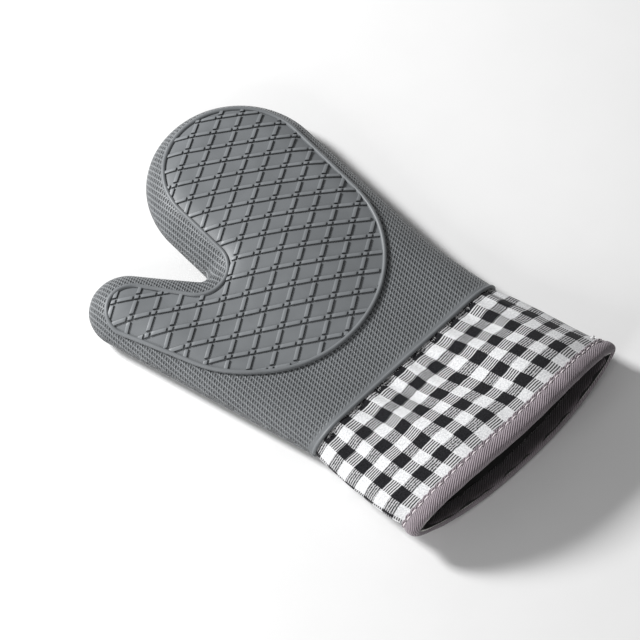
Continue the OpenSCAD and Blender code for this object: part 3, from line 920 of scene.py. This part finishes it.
for name, is_palm, node in (("cuff_palm_cloth", True, "cuff_palm_panel"),
                            ("cuff_back_cloth", False, "cuff_back_panel")):
    piece, width = panel_of(name, cuff, is_palm)
    facing = np.mean([p.normal.z for p in piece.data.polygons])
    print(name, "faces up by", round(float(facing), 2))
    apply_modifier(piece, "SOLIDIFY", thickness=cotton_t, offset=-1)
    finish_piece(piece, cotton, [node])
bpy.data.objects.remove(cuff)

# %% [markdown]
# ## Twill for the binding
# The binding is a mauve-grey twill tape. Twill shows fine ribs that slant across the tape. It has
# rubbed paler in patches outside, and the part turned into the mouth is painted dark, painted shade.

# %% Twill material
def twill():
    material, tree, shader = new_material("binding twill", 0.8, Sheen_Weight=0.3, Sheen_Roughness=0.45)
    place, around, across = flat_place(tree)
    slant = maths(tree, "MULTIPLY_ADD", across, 1.4, around)
    wander = maths(tree, "MULTIPLY_ADD", noise(tree, place, 400, 2), 0.5 * mm, slant)
    rib = maths(tree, "SINE", maths(tree, "MULTIPLY", wander, 2 * math.pi / (2.2 * mm)))
    thread = maths(tree, "SINE", maths(tree, "MULTIPLY", across, 2 * math.pi / (0.5 * mm)))
    fibre = noise(tree, place, 1800, 2)
    tall = maths(tree, "ADD", maths(tree, "MULTIPLY_ADD", thread, 0.18, rib), fibre)
    shade = ramp(tree, tall, -0.9, 1.5)
    worn = ramp(tree, noise(tree, place, 60, 3), 0.3, 0.75)
    dark = blend_colour(tree, worn, (0.050, 0.041, 0.047), (0.080, 0.066, 0.075))
    light = blend_colour(tree, worn, (0.330, 0.278, 0.310), (0.430, 0.362, 0.402))
    outside = blend_colour(tree, shade, dark, light)
    # Painted shade: the part of the tape turned into the mouth is painted much darker, for the shade inside
    # the mouth.
    painted_mouth_shade = blend_colour(tree, shade, (0.012, 0.010, 0.011), (0.075, 0.062, 0.069))
    turned_in_shade = ramp(tree, across, 18.5 * mm, 23.5 * mm)
    tree.links.new(blend_colour(tree, turned_in_shade, outside, painted_mouth_shade), shader.inputs["Base Color"])
    bump(tree, shader, tall, 0.3 * mm, 0.8)
    return material


binding_twill = twill()

# %% [markdown]
# ## The binding round the mouth
# A tape folded over the cuff's raw edge wraps cloth, wadding and lining together, so it is plump:
# its section is a deep U that swells between the edge and the stitch line. The stitches pull it in
# every few millimetres, which leaves a row of small puckers along its inner edge. The section's
# points are heights above the mouth and depths below the cuff's surface.

# %% Binding
stitch_pitch = 5.6 * mm
ring_count = 240
mouth_count = ring_count // 2 + 1
section = np.array([
    (11.3, 2.2), (11.1, 0.7), (10.3, 0.2), (9.0, 1.3), (7.6, 0.0), (5.0, -0.8), (2.0, -0.5), (0.1, 0.3),
    (-1.2, 1.7), (-1.6, 3.6), (-1.2, 5.6), (0.1, 7.1), (2.0, 7.9), (4.2, 8.1), (6.6, 7.9), (9.0, 7.2),
]) * mm


def rounder(points, times):
    """Cuts corners off an open line of points, which rounds it."""
    for _ in range(times):
        near, far = 0.75 * points[:-1] + 0.25 * points[1:], 0.25 * points[:-1] + 0.75 * points[1:]
        points = np.concatenate([points[:1], np.stack([near, far], 1).reshape(-1, 2), points[-1:]])
    return points


section = rounder(section, 1)
section_run = np.concatenate([[0], np.cumsum(np.hypot(*np.diff(section, axis=0).T))])
mouth_ring = cuff_ring(0.0, 0.0, mouth_count)
ring_run = length_round(mouth_ring)
pucker_count = round(ring_run[-1] / stitch_pitch)
beat = ring_run[:-1] * pucker_count / ring_run[-1]


# %% [markdown]
# ## The puckers
# The stitches pull the tape in at even steps. We sweep the section round the mouth line by line, and
# near the stitch line each line moves in and out with the beat of the stitches.

# %% Puckered lines
def binding_line(up, t):
    """One lengthwise line of the binding, with the pucker that the stitches leave."""
    pull = 0.5 - 0.5 * np.cos(2 * math.pi * beat)
    near_edge = math.exp(-((up - 10.0 * mm) / (2.2 * mm)) ** 2) if t < 3 * mm else 0
    swell = -0.5 * mm * near_edge * pull + 0.22 * mm * np.sin(beat * 1.9 + 40 * up)
    inset, proud = max(t, 0), max(-t, 0)
    row = cuff_row(up / cuff_len, inset, mouth_count)
    row[:, 1] += 1.0 * mm * near_edge * (pull[:mouth_count] - 0.5)
    over = on_skin(row, inset, palm, proud - swell[:mouth_count])[0]
    back_swell = np.concatenate([swell[mouth_count - 1:], swell[:1]])[::-1]
    under = on_skin(row, inset, back, proud - back_swell)[0]
    return np.concatenate([over, under[-2:0:-1]])


lines = np.array([binding_line(up, t) for up, t in section])
n, m = lines.shape[1], lines.shape[0]
points = lines.reshape(-1, 3)
faces = []
for s in range(m - 1):
    for i in range(n):
        faces.append([s * n + i, (s + 1) * n + i, (s + 1) * n + (i + 1) % n, s * n + (i + 1) % n])
binding = new_piece("mouth_binding_tape", points, faces)
corner_uv = np.column_stack([np.tile(ring_run[:-1], m), np.repeat(section_run, n)])
paint_uv(binding, corner_uv)
wrap = ring_run[-1]

# %% [markdown]
# ## Finishing the tape
# The ring's last faces run from the end of the tape back to its start. Their start corners get the
# whole length added, so that the weave isn't squeezed backwards into them. Solidify then gives the
# tape its thickness.

# %% Finish the tape
layer = binding.data.uv_layers["flat"].data
for polygon in binding.data.polygons:
    us = [layer[k].uv[0] for k in polygon.loop_indices]
    if max(us) - min(us) > wrap / 2:
        for k in polygon.loop_indices:
            if layer[k].uv[0] < wrap / 2:
                layer[k].uv[0] += wrap
points = coords(binding)
points[:, 2] = np.maximum(points[:, 2], 0.05 * mm)
set_coords(binding, points)
apply_modifier(binding, "SOLIDIFY", thickness=0.7 * mm, offset=-1)
finish_piece(binding, binding_twill, ["mouth_binding"])

# %% [markdown]
# ## Thread
# Sewing thread is twisted from plies, which shows as fine slanted lines. All the threads share
# this recipe, in three shades: pale, white and dark.

# %% Thread material
def thread(name, light, dark):
    material, tree, shader = new_material(name, 0.6, Sheen_Weight=0.3)
    where = put(tree, "TexCoord", {}).outputs["Object"]
    sockets = {"Vector": where, "Scale": 900.0, "Distortion": 2.0}
    twist = put(tree, "TexWave", sockets, bands_direction="DIAGONAL").outputs[1]
    fuzz = noise(tree, where, 3000, 1)
    tall = maths(tree, "ADD", twist, fuzz)
    colour = blend_colour(tree, maths(tree, "MULTIPLY", tall, 0.5), dark, light)
    tree.links.new(colour, shader.inputs["Base Color"])
    bump(tree, shader, tall, 0.05 * mm, 0.5)
    return material


pale_thread = thread("pale thread", (0.86, 0.80, 0.82), (0.62, 0.56, 0.58))
white_thread = thread("white thread", (0.86, 0.86, 0.86), (0.60, 0.60, 0.61))
dark_thread = thread("dark thread", (0.05, 0.05, 0.055), (0.015, 0.015, 0.018))

# %% [markdown]
# ## Stitches
# Each stitch is a short length of thread that rises out of the cloth and dives back in. One
# stitch is a small bent tube with six sides, and its copies follow a line round the mitt.

# %% Stitch helper
def stitch_row(name, line, up_way, pitch, length, radius, closed=True, dip=0.5):
    """A row of stitches along a line of points, as one piece. up_way points out of the cloth."""
    run = length_round(line) if closed else length_round(line)[:-1]
    path = np.concatenate([line, line[:1]]) if closed else line
    ups_path = np.concatenate([up_way, up_way[:1]]) if closed else up_way
    count = int(run[-1] / pitch)
    step = run[-1] / count
    sides = 6
    stations = 6
    points, faces = [], []
    for k in range(count):
        share = np.linspace(0.1, 0.1 + length / step, stations)
        at = (k + share) * step
        spine = np.column_stack([np.interp(at, run, path[:, c]) for c in range(3)])
        up = np.column_stack([np.interp(at, run, ups_path[:, c]) for c in range(3)])
        up /= np.linalg.norm(up, axis=1)[:, None]
        arch = np.sin(np.linspace(0, math.pi, stations))
        spine = spine + up * ((arch - dip) * radius * 1.4)[:, None]
        along_way = np.gradient(spine, axis=0)
        along_way /= np.linalg.norm(along_way, axis=1)[:, None]
        beside = np.cross(along_way, up)
        base = len(points)
        for s in range(stations):
            thick = radius * (0.6 + 0.4 * arch[s])
            for q in range(sides):
                a = 2 * math.pi * q / sides
                points.append(spine[s] + thick * (math.cos(a) * beside[s] + math.sin(a) * up[s]))
        for s in range(stations - 1):
            for q in range(sides):
                r = (q + 1) % sides
                a, b = base + s * sides, base + (s + 1) * sides
                faces.append([a + q, a + r, b + r, b + q])
        faces.append([base + q for q in range(sides)])
        faces.append([base + (stations - 1) * sides + q for q in reversed(range(sides))])
    piece = new_piece(name, points, faces)
    edit(piece, (bpy.ops.mesh.normals_make_consistent, {"inside": False}))
    return piece


def ring_with_normals(up, t, lift, count=160):
    row = cuff_row(up, t, count)
    over, over_n = on_skin(row, t, palm, lift)
    under, under_n = on_skin(row, t, back, lift)
    return np.concatenate([over, under[-2:0:-1]]), np.concatenate([over_n, under_n[-2:0:-1]])


# %% [markdown]
# ## The binding's stitches
# This row lies in the groove that it has pulled into the tape. Along the back its middle line is
# kept above the floor.

# %% Binding stitches
line, up_way = ring_with_normals(8.9 * mm / cuff_len, 0.5 * mm, 0.0)
line[:, 2] = np.maximum(line[:, 2], 0.25 * mm)
binding_stitches = stitch_row("binding_stitches", line, up_way, stitch_pitch, 4.2 * mm, 0.5 * mm)
finish_piece(binding_stitches, pale_thread, ["binding_stitching"])

# %% [markdown]
# ## The knot at the end of the binding's seam
# Where this seam ends, its thread is tied off in a small knot. A trefoil is the simplest closed
# knot, and one round tube along its curve gives it. It sits near the binding's inner edge, close to
# the mouth's outer corner.

# %% Knot
knot_turn = np.linspace(0, 2 * math.pi, 49)[:-1]
knot_flat = np.column_stack([
    np.sin(knot_turn) + 2 * np.sin(2 * knot_turn),
    np.cos(knot_turn) - 2 * np.cos(2 * knot_turn),
]) * 0.6 * mm
knot_place = np.array([mouth_shift + mouth_w / 2 - 10 * mm, mouth_bow - cuff_len + 10 * mm])
knot_lift = 1.2 * mm - 0.5 * mm * np.sin(3 * knot_turn)
knot = tube("binding_knot", on_skin(knot_flat + knot_place, 0, palm, knot_lift)[0], 0.45 * mm, resolution=2)
finish_piece(knot, white_thread)

# %% [markdown]
# ## The stitches under the lip
# A finer row of stitches holds the cuff's cloth to the silicone, just below the lip.

# %% Collar stitches
line, up_way = ring_with_normals(1 - 1.6 * mm / cuff_len, cotton_in - 0.5 * mm, 0.0)
collar_stitches = stitch_row("collar_stitches", line, up_way, stitch_pitch, 4.0 * mm, 0.22 * mm)
finish_piece(collar_stitches, white_thread, ["collar_stitching"])

# %% [markdown]
# ## The raveled edge under the collar
# The cotton's cut edge is tucked under the lip and has frayed: short black and white fibres stick
# out from under it. Each fibre is a thin bent sliver with three sides. They are placed by a seeded
# random generator, so that they are the same every time, and make one piece of each colour.

# %% Raveled edge
chance = random.Random(7)


def ravel(name, count, material):
    points, faces = [], []
    base_ring, base_up = ring_with_normals(1.0, cotton_in - 0.45 * mm, 0.0, 400)
    run = length_round(base_ring)[:-1]
    for _ in range(count):
        at = chance.uniform(0, run[-1])
        k = int(np.searchsorted(run, at)) % len(base_ring)
        start = base_ring[k] + base_up[k] * chance.uniform(-0.2, 0.7) * mm
        start = start + np.array([0, chance.uniform(-1.6, 0.6) * mm, 0])
        side = np.cross(base_up[k], [0, 1, 0])
        side /= np.linalg.norm(side)
        lean = chance.gauss(0, 1.0)
        way = np.array([0, -math.cos(lean), 0]) + side * math.sin(lean)
        bend = chance.gauss(0, 0.5)
        length = chance.uniform(0.8, 2.6) * mm
        thick = chance.uniform(0.10, 0.17) * mm
        base = len(points)
        for s in range(4):
            share = s / 3
            middle = start + way * length * share + side * bend * length * share * share
            middle = middle + base_up[k] * (0.5 * share - 0.9 * share * share) * mm
            r = thick * (1 - 0.5 * share)
            points += [middle + side * r, middle + base_up[k] * r, middle - side * r]
        for s in range(3):
            for q in range(3):
                a, b = base + 3 * s, base + 3 * s + 3
                faces.append([a + q, b + q, b + (q + 1) % 3, a + (q + 1) % 3])
        faces += [[base, base + 1, base + 2], [base + 11, base + 10, base + 9]]
    piece = new_piece(name, points, faces)
    edit(piece, (bpy.ops.mesh.normals_make_consistent, {"inside": False}))
    finish_piece(piece, material)


ravel("raveled_white_fibres", 900, white_thread)
ravel("raveled_black_fibres", 900, dark_thread)

# %% [markdown]
# ## The liner
# Inside the glove is a quilted liner: a dark lining against the hand, wadding, and a backing cloth
# outside it, sewn together in slanted squares. Only the lining shows, deep in the mouth, but all
# three are modelled, because the mitt is sewn from them. The lining dips at each line of quilting.

# %% Liner materials
def plain_cloth(name, light, dark, pitch):
    material, tree, shader = new_material(name, 0.9, Sheen_Weight=0.2)
    where = put(tree, "TexCoord", {}).outputs["Object"]
    parts = put(tree, "SeparateXYZ", {0: where})
    waves_x = maths(tree, "SINE", maths(tree, "MULTIPLY", parts.outputs[0], 2 * math.pi / pitch))
    waves_y = maths(tree, "SINE", maths(tree, "MULTIPLY", parts.outputs[1], 2 * math.pi / pitch))
    fibre = noise(tree, where, 1600, 2)
    tall = maths(tree, "MULTIPLY_ADD", waves_x, waves_y, fibre)
    tree.links.new(blend_colour(tree, ramp(tree, tall, -0.6, 1.4), dark, light), shader.inputs["Base Color"])
    bump(tree, shader, tall, 0.12 * mm, 0.6)
    return material


lining_cloth = plain_cloth("lining cloth", (0.016, 0.015, 0.015), (0.006, 0.006, 0.006), 0.7 * mm)
backing_cloth = plain_cloth("backing cloth", (0.060, 0.060, 0.064), (0.026, 0.026, 0.028), 0.9 * mm)
wadding_felt = plain_cloth("wadding", (0.74, 0.73, 0.69), (0.56, 0.55, 0.51), 2.4 * mm)
wadding_felt.node_tree.nodes["Principled BSDF"].inputs["Sheen Weight"].default_value = 0.4

# %% [markdown]
# ## The liner's layers
# Each layer is a thin closed slab between two depths below the mitt's surface. A flat piece is
# raised to the outer depth, a copy of it to the inner depth, and a rim joins their edges. Cut
# cloth and wadding could be sewn and stuffed by a simulation, but only the part near the mouth
# shows.

# %% Liner
quilt = 36 * mm


def quilt_dip(points):
    """0 on a line of quilting, rising to 1 in the middle of each quilted square."""
    a = (points[:, 0] + points[:, 1]) / quilt
    b = (points[:, 0] - points[:, 1]) / quilt
    near = np.minimum(np.abs(a - np.round(a)), np.abs(b - np.round(b)))
    return smooth(near / 0.22)


def liner_layer(name, outer, inner, face, quilted):
    """One closed layer of the liner between two depths."""
    rings_in = outer + (edge_round - outer) * (1 - np.cos(ring_turns[::2]))
    piece = flat_piece(name, lambda d: outline(d, True), rings_in, 4 * mm)
    flat = coords(piece)[:, :2]
    bow = mouth_bow / (cuff_len - mouth_bow)
    u = np.clip((flat[:, 0] - mouth_shift) / mouth_w + 0.5, 0, 1)
    flat[:, 1] = np.where(flat[:, 1] < 0, flat[:, 1] * (1 + bow * 4 * u * (1 - u)), flat[:, 1])
    slack = 1.1 * mm * smooth(-flat[:, 1] / (15 * mm))
    outer, inner = outer + slack, inner + slack
    top = np.column_stack([flat + home, height(flat, outer, face)])
    deep = inner - (0.9 * mm * (1 - quilt_dip(flat)) if quilted else 0)
    z = height(flat, 0.5 * (outer + inner), face)
    away = height(flat, outer, face) - z
    low = np.column_stack([flat + home, z - away * (2 * deep - outer - inner) / (inner - outer)])
    set_coords(piece, top)
    count = len(flat)
    edge_faces = [list(p.vertices) for p in piece.data.polygons]
    edge_use = {}
    for f in edge_faces:
        for a, b in zip(f, f[1:] + f[:1]):
            edge_use[(a, b)] = True
    rim = [(a, b) for a, b in edge_use if (b, a) not in edge_use]
    faces = edge_faces + [[i + count for i in reversed(f)] for f in edge_faces]
    faces += [[b, a, a + count, b + count] for a, b in rim]
    bpy.data.objects.remove(piece)
    layer = new_piece(name, np.concatenate([top, low]), faces)
    edit(layer, (bpy.ops.mesh.normals_make_consistent, {"inside": False}))
    return layer


for face, side in ((palm, "palm"), (back, "back")):
    backing = liner_layer(f"{side}_backing", backing_in, wadding_in, face, False)
    finish_piece(backing, backing_cloth, [f"liner_{side}_backing"])
    wadding = liner_layer(f"{side}_wadding", wadding_in, lining_in, face, True)
    finish_piece(wadding, wadding_felt, [f"liner_{side}_wadding"])
    lining = liner_layer(f"{side}_lining", lining_in, hand_in, face, True)
    finish_piece(lining, lining_cloth, [f"liner_{side}_lining", f"liner_{side}_quilting"])

# %% [markdown]
# ## Side seams
# The cuff's two panels are sewn together at the sides, and so are the two sides of the liner. Each
# seam is a narrow ridge of folded cloth and thread, for which a thin round tube stands here.

# %% Side seams
seam_y = np.linspace(mouth_bow - cuff_len + 2 * mm, 2 * mm, 60)
seam_z = mix(back_h, mouth_back_h, smooth(-seam_y / cuff_len))
for name, side, node in (("thumb_side_seam", -1, "cuff_thumb_side_seam"),
                         ("outer_side_seam", 1, "cuff_outer_side_seam")):
    at_mouth = mouth_shift + side * (mouth_w / 2 - cotton_in)
    at_collar = side * (collar_w / 2 - cotton_in)
    seam_x = mix(at_collar, at_mouth, -seam_y / (cuff_len - mouth_bow))
    path = np.column_stack([seam_x + home[0], seam_y + home[1], seam_z])
    strip = tube(name, path, 0.45 * mm, closed=False, resolution=2)
    finish_piece(strip, dark_thread, [node])

inner_line, _ = belt(outline(backing_in + 1.2 * mm, True), step=1.5 * mm)
z = mix(back_h, mouth_back_h, smooth(-inner_line[:, 1] / cuff_len))
path = np.column_stack([inner_line + home, z])
liner_seam = tube("liner_side_seam", path, 0.5 * mm, closed=False, resolution=2)
finish_piece(liner_seam, dark_thread, ["liner_seam"])

# %% [markdown]
# ## Floor
# The mitt lies on a plain pale floor. A plane is enough, because nothing else stands on it.

# %% Floor
bpy.ops.object.select_all(action="DESELECT")
bpy.ops.mesh.primitive_plane_add(size=6, location=(0, 0, 0))
floor = bpy.context.view_layer.objects.active
floor.name = "floor"
floor_material, tree, shader = new_material("pale floor", 0.9)
where = put(tree, "TexCoord", {}).outputs["Object"]
mottle = noise(tree, where, 30, 3)
floor_colour = blend_colour(tree, mottle, (0.83, 0.83, 0.83), (0.86, 0.86, 0.86))
tree.links.new(floor_colour, shader.inputs["Base Color"])
floor.data.materials.append(floor_material)

# %% [markdown]
# ## Light
# The main light comes from beyond the fingertips, low enough to draw the ribs. A weaker and wider
# one comes from the thumb's side, and a faint even light from all round opens the shadows.

# %% Lights
scene = bpy.context.scene
scene.view_settings.view_transform = "Standard"
world = bpy.data.worlds.new("studio")
world.use_nodes = True
world.node_tree.nodes["Background"].inputs[0].default_value = (1, 1, 1, 1)
world.node_tree.nodes["Background"].inputs[1].default_value = 0.2
scene.world = world


def area_light(name, place, size, power):
    light = bpy.data.lights.new(name, "AREA")
    light.size = size
    light.energy = power
    lamp = bpy.data.objects.new(name, light)
    scene.collection.objects.link(lamp)
    lamp.location = place
    lamp.rotation_euler = Vector(-Vector(place)).to_track_quat("-Z", "Y").to_euler()


area_light("key", (-0.5, 1.25, 1.0), 0.35, 39)
area_light("fill", (-1.5, -0.3, 0.7), 0.8, 12)

# %% [markdown]
# ## Camera
# The camera stands far off with a long lens, so that near and far parts keep the same scale.

# %% Camera
view_azimuth = math.radians(-46.2)
view_elevation = math.radians(60)
view_distance = 4.36
target = Vector((0.002, 0.003, 0.0))
camera_data = bpy.data.cameras.new("camera")
camera_data.lens = 400
camera_data.sensor_width = 36
camera = bpy.data.objects.new("camera", camera_data)
scene.collection.objects.link(camera)
away = Vector((
    math.sin(view_azimuth) * math.cos(view_elevation),
    -math.cos(view_azimuth) * math.cos(view_elevation),
    math.sin(view_elevation),
))
camera.location = target + away * view_distance
camera.rotation_euler = away.to_track_quat("Z", "Y").to_euler()
scene.camera = camera
